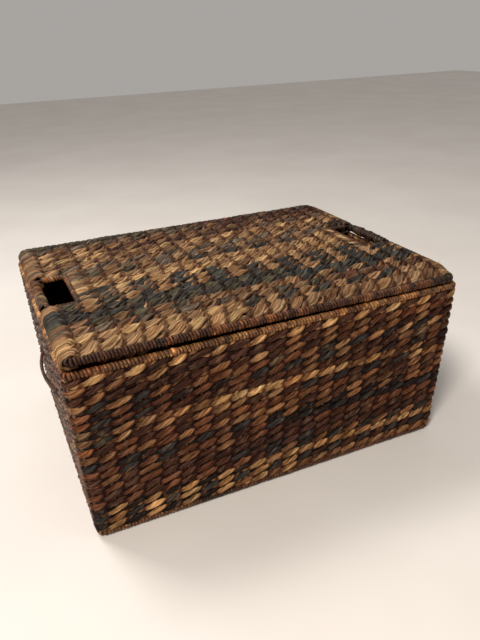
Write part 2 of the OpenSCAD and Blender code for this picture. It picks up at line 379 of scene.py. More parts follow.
keep_cad(frame_iron, "frame_rod", "bottom_frame", "rim_frame", "lid_frame",
         "lid_left_hole_frame", "lid_right_hole_frame")
for name in ("front", "back", "left", "right"):
    keep_cad(stake_cane, "cane", f"{name}_stakes")
for name in ("front_left", "front_right", "back_left", "back_right"):
    keep_cad(stake_cane, "cane", f"corner_post_{name}")
keep_cad(rib_cane, "cane", "base_ribs")

# ---- the frame's sizes


def corners(node):
    """The lowest and highest corner of a CAD node's box."""
    low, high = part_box(node)
    return np.array(low), np.array(high)


def middle(low, high):
    """Half the height of a node's box, and the height of its middle."""
    return (high[2] - low[2]) / 2, (low[2] + high[2]) / 2


rim_low, rim_high = corners("rim_binding")
foot_low, foot_high = corners("bottom_binding")
wall_low, wall_high = corners("front_weave")
lid_low, lid_high = corners("lid_weave_middle")
lid_front_low, lid_front_high = corners("lid_front_binding")
edge_low, edge_high = corners("lid_right_edge")
hole_low, hole_high = corners("lid_right_hole_binding")
grip_low, grip_high = corners("lid_right_grip")
base_low, base_high = corners("base_weave")

half_l, half_d, rim_top = rim_high
rim_r, _ = middle(rim_low, rim_high)
foot_r, _ = middle(foot_low, foot_high)
# How far the walls lean out from foot to rim, and how far the weave's middle is inside their face
taper = half_l - foot_high[0]
wall_lean = taper * (wall_high[2] - wall_low[2]) / rim_top
wall_mid = (wall_high[1] - wall_low[1] - wall_lean) / 2
# Radius of the weave's and the bindings' corners, and where the hidden posts, stakes and ribs stand
turn_r = 6 * MM
corner_r = 8 * MM
post_inset = 7 * MM
stake_pitch = 27 * MM
rib_pitch = 29 * MM


def gaps(length, pitch):
    """How many equal gaps of at least this pitch a length takes."""
    return int(length / pitch + 1e-6)


front_gaps = gaps(2 * (half_l - post_inset - taper), stake_pitch)
side_gaps = gaps(2 * (half_d - post_inset - taper), stake_pitch)


def turn_quarters(v, quarters):
    """Turns points or directions about Z by a number of quarter turns."""
    c, s = round(math.cos(quarters * math.pi / 2)), round(math.sin(quarters * math.pi / 2))
    return v @ np.array([[c, s, 0], [-s, c, 0], [0, 0, 1]], float)


def reach_depth(quarter, half_x, half_y):
    """Half the length of a rectangle's side and its distance from the middle."""
    return (half_x, half_y) if quarter % 2 == 0 else (half_y, half_x)


def side_line(reach, depth, r, share, corner=math.pi / 4):
    """Points and outward normals along the side of a rounded rectangle that faces -Y, with this
    much of each corner's turn. reach is half its length, depth its distance from the middle."""
    straight = reach - r
    u = (2 * share - 1) * (straight + r * corner)
    bent = np.clip(np.abs(u) - straight, 0, None) / r
    sign = np.sign(u)
    x = sign * (np.minimum(np.abs(u), straight) + r * np.sin(bent))
    y = r * (1 - np.cos(bent)) - depth
    return xyz(x, y, 0.0), xyz(sign * np.sin(bent), -np.cos(bent), 0.0)


# ---- walls

SIDES = [("front", 0, front_gaps), ("right", 1, side_gaps), ("back", 2, front_gaps), ("left", 3, side_gaps)]
ring_gaps = 2 * (front_gaps + side_gaps)
wall_rows = 19
split_row = 9
wall_steps = 10
rows_low = foot_high[2] - 0.6 * MM
rows_high = rim_low[2] + 3.2 * MM
row_pitch = (rows_high - rows_low) / wall_rows
# How far a strand swings through the wall and rises, and how much more it shows outside
wall_swing = 2.7 * MM
wall_rise = 3.45 * MM
wall_bias = 0.3
# Half widths and half thicknesses in mm: where strands cross, outside, inside, and on an open leaf
wall_cross_w, wall_float_w, wall_inner_w, open_extra_w = 2.6, 5.3, 8.0, 0.9
wall_cross_t, wall_float_t = 4.4, 3.0
wall_fold = 0.55 * MM
deepest_crease = 1.5 * MM
# How the leaves' colours lean on the walls: dark brown, mid brown, pale and blackish ones
wall_fade = np.array([1.37, 1.18, 1.09])
mid_fade = np.array([1.36, 1.25, 1.20])
pale_fade = np.array([1.23, 1.19, 1.22])
cool_fade = np.array([0.88, 0.88, 1.08])

WALL_MIX = {"brown": 5, "plum": 4.5, "dark": 4, "umber": 2.8, "russet": 0.8, "slate": 1.3, "black": 1.2,
            "tan": 1.4, "grey": 1.0, "gold": 0.4}

# Leaves that stand out on the front: row from the top, odd or even stakes, first and last stake, colour
FRONT_LEAVES = [
    (0, 1, 0, 21, "gold"), (0, 0, 0, 21, "plum"),
    (1, 0, 0, 3, "umber"), (1, 0, 4, 4, "tan"), (1, 1, 0, 9, "plum"), (1, 1, 11, 21, "umber"),
    (2, 1, 1, 1, "umber"), (2, 1, 7, 7, "umber"), (2, 1, 9, 9, "tan"), (2, 1, 13, 19, "umber"),
    (3, 0, 0, 2, "tan"), (3, 1, 1, 3, "slate"), (3, 0, 4, 8, "umber"), (3, 0, 12, 21, "tan"),
    (3, 1, 13, 20, "slate"),
    (4, 1, 9, 13, "slate"), (4, 0, 12, 14, "umber"), (4, 1, 15, 17, "dark"), (4, 0, 18, 21, "umber"),
    (5, 1, 1, 3, "slate"), (5, 0, 0, 4, "brown"), (5, 0, 12, 12, "umber"),
    (6, 1, 3, 6, "tan"), (6, 1, 7, 10, "blonde"), (6, 1, 11, 13, "gold"), (6, 1, 14, 17, "umber"),
    (6, 1, 18, 20, "tan"), (6, 0, 2, 6, "umber"),
    (7, 1, 0, 1, "slate"), (7, 1, 7, 7, "tan"), (7, 0, 12, 18, "slate"), (7, 1, 13, 17, "dark"),
    (7, 1, 19, 20, "gold"),
    (8, 1, 15, 17, "dark"), (8, 1, 19, 21, "umber"), (8, 0, 2, 6, "brown"),
    (9, 1, 1, 9, "umber"), (9, 0, 2, 6, "brown"),
    (10, 0, 1, 3, "slate"), (10, 1, 9, 19, "umber"), (10, 0, 10, 18, "black"),
    (11, 0, 2, 4, "slate"), (11, 0, 10, 21, "slate"), (11, 1, 11, 21, "black"),
    (12, 1, 1, 7, "umber"), (12, 1, 13, 19, "brown"),
    (13, 0, 0, 21, "plum"), (13, 1, 5, 15, "plum"),
    (14, 0, 8, 12, "slate"), (14, 1, 3, 21, "plum"),
    (15, 0, 10, 21, "slate"), (15, 1, 11, 21, "umber"), (15, 1, 1, 9, "dark"),
    (16, 1, 0, 21, "gold"), (16, 0, 0, 8, "black"), (16, 0, 10, 21, "tan"),
    (17, 1, 0, 11, "gold"), (17, 1, 12, 21, "dark"), (17, 0, 0, 21, "slate"),
    (18, 1, 0, 11, "gold"), (18, 1, 12, 21, "tan"), (18, 0, 0, 6, "black"), (18, 0, 8, 20, "umber"),
]


def wall_colours():
    """Colour number of each float by row, strand and stake round the ring."""
    rng = np.random.default_rng(11)
    table = np.zeros((wall_rows, 2, ring_gaps), int)
    for row in range(wall_rows):
        for strand in (0, 1):
            leaf = run_colours(rng, ring_gaps // 2 + 1, WALL_MIX, 3, 10)
            table[row, strand] = np.repeat(leaf, 2)[:ring_gaps]
    table[-1, 1] = NAMES.index("dark")
    table[0, 1] = NAMES.index("tan")
    for from_top, strand, first, last, name in FRONT_LEAVES:
        row = wall_rows - 1 - from_top
        for stake in range(first, last + 1):
            table[row, strand, stake % ring_gaps] = NAMES.index(name)
    return table


def float_tints(rng, numbers, uneven_light=0.16, uneven_hue=0.035):
    """The colour of each float, a little off its leaf's."""
    light = np.exp(rng.normal(0, uneven_light, numbers.shape))
    warm = rng.normal(0, uneven_hue, numbers.shape)
    tint = PAINT[numbers] * light[..., None]
    return tint * np.stack([1 + warm, np.ones_like(warm), 1 - warm], -1)


def fold_ridge(section, face, amount, folds, phase, hollow, crease, depth):
    """Height of the folds along a strand's face, as many across it as folds says. hollow opens a leaf
    like a shallow trough, and a crease of this depth runs along it at a place from -1 to 1."""
    crease_w = 0.17
    wave = np.cos(math.pi * folds[:, None] * section.a + phase[:, None])
    trough = 2.2 * section.a**2 - 0.9
    shape = (1 - hollow[:, None]) * wave + 2.0 * hollow[:, None] * trough
    cut = np.exp(-(((section.a - crease[:, None]) / crease_w) ** 2)) * (section.b > 0)
    return (face * amount)[:, None] * shape * section.face - (face * depth)[:, None] * cut


def uneven(p, start, shift):
    """Place p along a strand, moved a little so that it crosses its partner unevenly; shift is how far
    at each crossing round the ring, counted from start."""
    return p + np.interp(start + p, np.arange(len(shift)) + 0.5, shift, period=len(shift))


def wall_path(row, strand, first, quarter, count, shift, slide, roll):
    """A wall strand's middle line along one side: points, face directions, how much each point is on
    a face and in the open, its stake round the ring, and how far it is inside the basket. Each share
    is from 0 to 1."""
    z_row = rows_low + (row + 0.5) * row_pitch
    p = np.linspace(0, count, count * wall_steps + 1)
    lean = taper * (1 - z_row / rim_top)
    reach, depth = reach_depth(quarter, half_l, half_d)
    line, normal = side_line(reach - lean - wall_mid, depth - lean - wall_mid, turn_r, p / count)
    line, normal = turn_quarters(line, quarter), turn_quarters(normal, quarter)
    place = first + uneven(p, first, shift)
    stake = np.round(place).astype(int) % ring_gaps
    angle = math.pi * (place + strand)
    c, s = np.cos(angle), np.sin(angle)
    face = np.abs(c)
    outward = (c + wall_bias) / (1 + wall_bias)
    shown = np.maximum(outward, -c)
    push = wall_swing * signed_power(outward, 0.5)
    rise = wall_rise * signed_power(s, 0.85) + slide[stake] * face
    centre = line + normal * push[:, None] + UP * (z_row + rise)[:, None]
    tip = np.arctan2(0.6 * s, c) + roll[stake] * face
    out = normal * np.cos(tip)[:, None] + UP * np.sin(tip)[:, None]
    return centre, out, face, shown, stake, np.clip(-4 * c, 0, 1)


def build_walls():
    rng = np.random.default_rng(23)
    shape = (wall_rows, 2, ring_gaps)
    numbers = wall_colours()
    fade = np.tile(wall_fade, (len(NAMES), 1))
    fade[[NAMES.index(name) for name in ("umber", "grey")]] = mid_fade
    fade[[NAMES.index(name) for name in ("tan", "gold", "blonde")]] = pale_fade
    fade[[NAMES.index(name) for name in ("black", "slate")]] = cool_fade
    colours = fade[numbers] * float_tints(rng, numbers)
    skeins = {(name, part): Skein() for name, _, _ in SIDES for part in ("lower", "upper")}
    shift = rng.normal(0.0, 0.085, (wall_rows, ring_gaps))
    roll = rng.normal(0.0, 0.20, shape)
    slide = rng.normal(0.0, 0.55 * MM, shape)
    size = rng.normal(1.0, 0.10, shape)
    puff = rng.normal(1.0, 0.12, shape)
    folds = rng.uniform(1.4, 3.6, shape)
    phase = rng.uniform(-math.pi, math.pi, shape)
    crease = rng.uniform(-0.55, 0.55, shape)
    depth = rng.uniform(0.0, deepest_crease, shape)
    for row in range(wall_rows):
        for strand in (0, 1):
            first = 0
            # The top row's front strand is of leaves that lie open, like shallow troughs
            open_leaf = 1.0 if (row == wall_rows - 1) and (strand == 1) else 0.0
            for name, quarter, count in SIDES:
                centre, out, face, shown, stake, inside = wall_path(
                    row, strand, first, quarter, count, shift[row], slide[row, strand], roll[row, strand])
                at = (row, strand, stake)
                outer_w = (wall_float_w + open_extra_w * open_leaf) * size[at]
                full_w = outer_w * (1 - inside) + wall_inner_w * inside
                half_w = blend(wall_cross_w, full_w, shown ** (1.05 - 0.55 * inside)) * MM
                half_t = blend(wall_cross_t, wall_float_t * puff[at], face**0.8) * MM
                hollow = np.full(len(face), 0.8 * open_leaf)
                ridge = fold_ridge(WALL_SECTION, face, wall_fold, folds[at], phase[at],
                                   hollow, crease[at], depth[at] * (1 - open_leaf))
                part = "lower" if row < split_row else "upper"
                seed = row * 2 + strand + stake * 0.37
                # How open the float lies, from which the leaf material paints shade
                bare = smooth(shown * 1.3)
                skeins[name, part].strand(
                    centre, out, half_w, half_t, colours[at], seed, WALL_SECTION, ridge, bare)
                first += count
    for (name, part), skein in skeins.items():
        skein.build(f"{name}_weave_{part}", wall_leaf, "basket", "weave_brown", [f"{name}_weave"])


# ---- base


base_rows = 31
base_steps = 8
base_lift = 0.8 * MM
base_swing = 1.5 * MM
base_shift = 3.3 * MM
# Half widths and half thicknesses in mm, where strands cross and between
base_cross_w, base_float_w = 3.5, 6.4
base_cross_t, base_float_t = 4.0, 2.7


def build_base():
    rng = np.random.default_rng(31)
    half_x = base_high[0]
    count = gaps(2 * half_x, stake_pitch)
    pitch = 2 * half_x / count
    reach_y = base_high[1] - 0.5 * MM
    step = 2 * reach_y / base_rows
    z_mid = middle(base_low, base_high)[1] + base_lift
    numbers = np.zeros((base_rows, 2, count + 1), int)
    for row in range(base_rows):
        for strand in (0, 1):
            numbers[row, strand] = run_colours(rng, count + 1, WALL_MIX, 4, 12)
    colours = float_tints(rng, numbers)
    skeins = [Skein(), Skein()]
    p = np.linspace(0, count, count * base_steps + 1)
    stake = np.round(p).astype(int)
    for row in range(base_rows):
        y = (row + 0.5) * step - reach_y
        for strand in (0, 1):
            size = rng.normal(1.0, 0.06, count + 1)
            angle = math.pi * (p + strand)
            c, s = np.cos(angle), np.sin(angle)
            face = np.abs(c)
            centre = xyz(p * pitch - half_x, y + base_shift * s, z_mid + base_swing * signed_power(c, 0.6))
            tip = np.arctan2(0.45 * s, c)
            out = xyz(0.0, np.sin(tip), np.cos(tip))
            half_w = blend(base_cross_w, base_float_w * size[stake], face**0.9) * MM
            half_t = blend(base_cross_t, base_float_t, face**0.6) * MM
            seed = row * 2 + strand + stake * 0.37
            # bare is how open the float lies, from which the leaf material paints shade
            skeins[row * 2 // base_rows].strand(
                centre, out, half_w, half_t, colours[row, strand, stake], seed, PLAIN_SECTION,
                bare=smooth(face * 1.25))
    for part, skein in zip(("front", "back"), skeins):
        skein.build(f"base_weave_{part}", wall_leaf, "basket", "weave_brown", ["base_weave"])


# ---- lid weave

rod_x = (edge_low[0] + edge_high[0]) / 2
lid_gaps = gaps(2 * rod_x, rib_pitch)
edge_r, rod_z = middle(edge_low, edge_high)
_, lid_mid = middle(lid_low, lid_high)
lid_rows = 20
lid_steps = 10
lid_leaves = 3
lid_fade = np.array([1.13, 1.23, 1.42])
lid_pitch = 2 * lid_high[1] / lid_rows
rib_gap = 2 * rod_x / lid_gaps
# Rows on each side of the middle that stop at the hand holes
hole_rows = 3
# Where the lid begins to slope down to its long edges, over what distance, and how far
slope_start = 186 * MM
slope_reach = 26 * MM
front_drop = 4.4 * MM
back_drop = 2.0 * MM
# How far a strand swings through the lid and along it, and how much more it shows on top
lid_swing = 3.3 * MM
lid_shift = 4.9 * MM
lid_bias = 0.4
# A leaf's half widths and half thicknesses in mm: where strands cross, in a float, at a turned end
lid_cross_w, lid_float_w, lid_end_w = 2.7, 4.0, -0.7
lid_cross_t, lid_float_t, lid_end_t = 4.6, 3.2, 2.1
lid_fold = 0.5 * MM
turn_gap = 1.7 * MM
end_lift = 3.6 * MM
tuck_lift = 2.4 * MM

LID_MIX = {"tan": 5, "umber": 4.5, "grey": 3.2, "gold": 2.6, "brown": 2.0, "green": 0.9, "slate": 0.6}

# Leaves that stand out on the lid: row from the front, odd or even ribs, first and last rib, colour
LID_LEAVES = [
    (0, 0, 0, 8, "gold"), (0, 1, 0, 8, "tan"), (0, 0, 10, 20, "tan"), (0, 1, 9, 20, "umber"),
    (1, 0, 0, 20, "tan"), (1, 1, 0, 8, "gold"), (1, 1, 9, 17, "slate"),
    (2, 0, 0, 9, "grey"), (2, 1, 0, 9, "umber"), (2, 0, 10, 20, "umber"), (2, 1, 11, 13, "green"),
    (3, 0, 0, 6, "green"), (3, 1, 0, 12, "umber"), (3, 0, 7, 20, "tan"), (3, 1, 13, 20, "slate"),
    (4, 0, 0, 20, "slate"), (4, 1, 0, 3, "slate"), (4, 1, 5, 11, "green"), (4, 1, 12, 20, "slate"),
    (5, 1, 0, 20, "slate"), (5, 0, 0, 1, "slate"), (5, 0, 2, 2, "tan"), (5, 0, 3, 12, "green"),
    (5, 0, 13, 20, "tan"),
    (6, 0, 0, 20, "tan"), (6, 1, 1, 3, "green"), (6, 1, 4, 20, "slate"),
    (7, 0, 0, 20, "tan"), (7, 1, 2, 5, "grey"), (7, 1, 6, 20, "slate"),
    (8, 1, 1, 9, "slate"), (8, 0, 1, 20, "gold"), (8, 1, 10, 20, "umber"),
    (9, 0, 0, 20, "tan"), (9, 1, 0, 20, "gold"),
    (10, 0, 0, 20, "gold"), (10, 1, 0, 20, "tan"),
    (11, 0, 0, 20, "umber"), (11, 1, 3, 5, "green"), (11, 1, 9, 15, "slate"),
    (12, 0, 0, 20, "tan"), (12, 1, 0, 20, "grey"),
    (13, 0, 0, 20, "grey"), (13, 1, 0, 18, "tan"), (13, 0, 20, 20, "dark"), (13, 1, 19, 20, "black"),
    (14, 0, 0, 20, "umber"), (14, 1, 0, 20, "tan"),
    (15, 0, 1, 20, "gold"), (15, 1, 0, 20, "umber"),
    (16, 0, 0, 20, "umber"), (16, 1, 5, 13, "plum"),
    (17, 1, 0, 9, "tan"), (17, 0, 0, 20, "brown"), (17, 1, 11, 20, "umber"),
    (18, 0, 0, 12, "umber"), (18, 1, 0, 12, "grey"), (18, 0, 13, 20, "plum"), (18, 1, 13, 20, "brown"),
    (19, 0, 0, 10, "grey"), (19, 1, 0, 10, "green"), (19, 0, 11, 20, "brown"), (19, 1, 11, 20, "plum"),
]


def lid_colours():
    """Colour number of each float by row, strand and rib."""
    rng = np.random.default_rng(41)
    table = np.zeros((lid_rows, 2, lid_gaps + 1), int)
    for row in range(lid_rows):
        for strand in (0, 1):
            table[row, strand] = run_colours(rng, lid_gaps + 1, LID_MIX, 4, 10)
    for row, strand, first, last, name in LID_LEAVES:
        table[row, strand, first:last + 1] = NAMES.index(name)
    return table


# How soon an end has left its crossing: by this fraction of the way
end_haste = 1.6


def turned_end(side, y_cross, y_end, x_cross):
    """A strand's last stretch: from its last crossing up over the end rod, round it and back below.
    Returns points, face directions and how far along each point is, from 0 to 1."""
    turn = edge_r - turn_gap
    climb, round_it, back = 8, 9, 2
    t = np.linspace(0, 1, climb + 1)[1:]
    climb_z = blend(lid_mid, rod_z + turn, t) + end_lift * np.sin(math.pi * t) ** 0.8
    bend = np.linspace(math.pi / 2, -math.pi / 2, round_it + 1)[1:]
    back_x = rod_x - np.linspace(0, 12 * MM, back + 1)[1:]
    back_z = np.full(back, rod_z - turn + 1 * MM)
    x = np.concatenate([blend(x_cross, rod_x, t), rod_x + turn * np.cos(bend), back_x])
    z = np.concatenate([climb_z, rod_z + turn * np.sin(bend), back_z])
    far = smooth(np.concatenate([t, np.ones(round_it + back)]) * end_haste)
    out_x = np.concatenate([np.zeros(climb), np.cos(bend), np.zeros(back)])
    out_z = np.concatenate([np.ones(climb), np.sin(bend), -np.ones(back)])
    return xyz(side * x, blend(y_cross, y_end, far), z), xyz(side * out_x, 0.0, out_z), far


def tucked_end(side, y_cross, y_end, x_cross, x_end):
    """The same for a strand that stops at the bound edge of a hand hole."""
    t = np.linspace(0, 1, 7)[1:]
    far = smooth(t * end_haste)
    z = lid_mid + tuck_lift * np.sin(math.pi * t) ** 0.6
    points = xyz(side * blend(x_cross, x_end, t), blend(y_cross, y_end, far), z)
    return points, np.tile(UP, (len(t), 1)), far


# How far the hanging edge moves forward for each millimetre that it hangs
sag_forward = 1.2


def front_sag(x):
    """How much further the lid's front edge hangs at x: more towards its right end."""
    return (0.2 + 2.7 * smooth((x + half_l) / (2 * half_l))) * MM


def front_share(points):
    """1 along the lid's front edge, falling to 0 behind it."""
    return smooth((-points[:, 1] - slope_start) / slope_reach)


def lid_slope(points):
    """The lid's first and last rows slope down to its long bindings."""
    front, sag = front_share(points), front_sag(points[:, 0])
    back = smooth((points[:, 1] - slope_start) / slope_reach)
    points[:, 1] -= sag_forward * sag * front
    points[:, 2] -= (front_drop + sag) * front + back_drop * back
    return points


def stops_at_holes(row):
    return lid_rows // 2 - hole_rows <= row < lid_rows // 2 + hole_rows


def lid_path(row, strand, shift, slide, roll):
    """A lid strand's middle line from end to end: points, face directions, how much each point is
    on a face and in the open, how far it is into a turned end, its rib and its place between ribs."""
    y_row = (row + 0.5 - lid_rows // 2) * lid_pitch
    stops = stops_at_holes(row)
    margin = 2.5 if stops else 0.5
    p = np.arange(margin, lid_gaps - margin + 1e-6, 1 / lid_steps)
    place = uneven(p, 0, shift)
    rib = np.round(place).astype(int)
    angle = math.pi * (place + strand)
    c, s = np.cos(angle), np.sin(angle)
    face = np.abs(c)
    upward = (c + lid_bias) / (1 + lid_bias)
    y = y_row + lid_shift * s + slide[rib] * face
    centre = xyz(p * rib_gap - rod_x, y, lid_mid + lid_swing * signed_power(upward, 0.45))
    tip = np.arctan2(0.2 * s, c) + roll[rib] * face
    out = xyz(0.0, np.sin(tip), np.cos(tip))
    parts = [[centre, out, face, np.maximum(upward, -c), np.zeros(len(p)), rib, place - rib]]
    for side, end in ((-1, 0), (1, -1)):
        lean = math.copysign(1, s[end])
        y_end = y_row + lean * lid_pitch / 4
        ends = (side, centre[end, 1], y_end, abs(centre[end, 0]))
        points, faces, far = tucked_end(*ends, hole_low[0] + 2.5 * MM) if stops else turned_end(*ends)
        tilt = math.pi / 2 * (1 - far) * lean
        faces = faces * np.cos(tilt)[:, None] + np.array([0, 1, 0]) * np.sin(tilt)[:, None]
        zero = np.zeros(len(far))
        shown = zero + lid_bias / (1 + lid_bias)
        block = [points, faces, zero, shown, far, np.full(len(far), rib[end]), zero + 0.5 * side]
        if side < 0:
            parts.insert(0, [values[::-1] for values in block])
        else:
            parts.append(block)
    return [np.concatenate(blocks) for blocks in zip(*parts)]


def build_lid_ribs():
    """The ribs, which bend down under the weave to the lid's front and back rods."""
    low, high = corners("lid_ribs")
    r, z = middle(low, high)
    skein = Skein()
    for i in range(1, lid_gaps):
        x = i * rib_gap - rod_x
        spans = [(low[1], high[1])]
        if abs(x) > hole_low[0]:
            spans = [(low[1], hole_low[1] + r), (hole_high[1] - r, high[1])]
        for start, end in spans:
            y = np.linspace(start, end, max(16, int((end - start) / (10 * MM))))
            size = np.full_like(y, r)
            skein.strand(xyz(x, y, z), UP, size, size, CANE, i, ROUND_SECTION)
    skein.build("lid_rib_canes", rib_cane, "lid", "cane", ["lid_ribs"], lid_slope)


def build_lid_weave():
    """Each lid strand is a bunch of leaves side by side, which spread out where it is on a face."""
    rng = np.random.default_rng(43)
    shape = (lid_rows, 2, lid_gaps + 1)
    bunch = (lid_leaves, *shape)
    colours = lid_fade * float_tints(rng, np.broadcast_to(lid_colours(), bunch))
    shift = rng.normal(0.0, 0.08, (lid_rows, lid_gaps + 1))
    # Even at the lid's ends and beside the hand holes
    shift[:, [0, 2, -4, -3, -1]] = 0
    skeins = {"front": Skein(), "middle": Skein(), "back": Skein()}
    roll = rng.normal(0.0, 0.10, shape)
    slide = rng.normal(0.0, 0.8 * MM, shape)
    twist = rng.uniform(0.2, 0.8, shape)
    size = rng.normal(1.0, 0.13, bunch)
    puff = rng.normal(1.0, 0.15, bunch)
    stray = rng.normal(0.0, 0.2, bunch)
    heave = rng.normal(0.0, 0.6 * MM, bunch)
    folds = rng.uniform(0.8, 2.2, bunch)
    phase = rng.uniform(-math.pi, math.pi, bunch)
    for row in range(lid_rows):
        part = "middle" if stops_at_holes(row) else ("front" if row < lid_rows // 2 else "back")
        for strand in (0, 1):
            centre, out, face, shown, far, rib, place = lid_path(
                row, strand, shift[row], slide[row, strand], roll[row, strand])
            side = unit(np.cross(unit(np.gradient(centre, axis=0)), out))
            spread = (1.7 + 3.3 * shown**0.7 + 0.4 * far) * MM
            turn = -twist[row, strand, rib] * np.sin(math.pi * place) * face**0.3
            for leaf in range(lid_leaves):
                at = (leaf, row, strand, rib)
                rank = leaf - (lid_leaves - 1) / 2
                offset = spread * (rank + turn + stray[at] * face)
                lift = (heave[at] - 0.9 * MM * abs(rank)) * face
                line = centre + side * offset[:, None] + out * lift[:, None]
                half_w = blend(lid_cross_w, lid_float_w * size[at], shown**0.45) + lid_end_w * far
                half_t = blend(lid_cross_t, lid_float_t * puff[at], face**0.35)
                half_t = blend(half_t, lid_end_t, np.minimum(3 * far, 1))
                flat = np.zeros(len(face))
                ridge = fold_ridge(
                    LID_SECTION, np.maximum(face, far), lid_fold, folds[at], phase[at], flat, flat, flat)
                seed = row * 2 + strand + leaf * 0.29 + rib * 0.37
                # How open the leaf lies, from which the leaf material paints shade
                bare = smooth(np.maximum(shown * 1.2, 0.2 + 0.8 * far))
                skeins[part].strand(
                    line, out, half_w * MM, half_t * MM, colours[at], seed, LID_SECTION, ridge, bare)
    stands_for = {
        "front": ["lid_weave_front_left", "lid_weave_front_right", "lid_left_edge", "lid_right_edge"],
        "middle": ["lid_weave_middle"],
        "back": ["lid_weave_back_left", "lid_weave_back_right"],
    }
    for part, skein in skeins.items():
        skein.build(f"lid_weave_{part}", lid_leaf, "lid", "weave_lid", stands_for[part], lid_slope)


# ---- bindings


# How the leaves' colours lean where they are coiled
wrap_fade = np.array([1.14, 0.98, 0.80])
coil_steps = 12


def coil(skein, rng, line, normal, radius, pitch, thick, weights, runs, lumpy=0.08):
    """A strand of this half thickness, coiled round a guide line out to radius. normal points away
    from the line, weights mixes its colours and runs is how many turns one leaf lasts."""
    length = line_lengths(line)
    normal = np.broadcast_to(normal, line.shape)
    turns = max(2, round(length[-1] / pitch))
    t = np.linspace(0, 1, turns * coil_steps + 1)
    turn = np.minimum((t * turns).astype(int), turns - 1)
    bump = rng.normal(1.0, lumpy, turns + 1)
    skew = rng.normal(0.0, 0.05 * pitch, turns + 1)
    # A skewed end would fold the strand onto one spot
    skew[[0, -1]] = 0
    wide = np.interp(t * turns, np.arange(turns + 1), bump)
    place = t * length[-1] + np.interp(t * turns, np.arange(turns + 1), skew)
    place = np.clip(place, 0, length[-1])

    def at(values):
        return np.stack([np.interp(place, length, values[:, i]) for i in range(3)], -1)

    ahead = unit(np.gradient(at(line), axis=0))
    first = unit(at(normal))
    second = unit(np.cross(ahead, first))
    angle = 2 * math.pi * turns * t
    out = first * np.cos(angle)[:, None] + second * np.sin(angle)[:, None]
    centre = at(line) + out * ((radius - thick) * (1 + 0.5 * (wide - 1)))[:, None]
    numbers = run_colours(rng, turns, weights, *runs)
    tints = wrap_fade * float_tints(rng, numbers, 0.38)
    seed = turn * 0.61 + rng.uniform(0, 9)
    skein.strand(centre, out, 0.5 * pitch * wide, thick * wide, tints[turn], seed, ROUND_SECTION)


def ring_guide(half_x, half_y, z, r):
    """A closed rounded rectangle from the middle of a corner, with outward normals."""
    lines, normals = [], []
    for quarter in range(4):
        line, normal = side_line(*reach_depth(quarter, half_x, half_y), r, np.linspace(0, 1, 160))
        keep = slice(None) if quarter == 3 else slice(None, -1)
        lines.append(turn_quarters(line, quarter)[keep])
        normals.append(turn_quarters(normal, quarter)[keep])
    line = np.concatenate(lines)
    line[:, 2] = z
    return line, np.concatenate(normals)


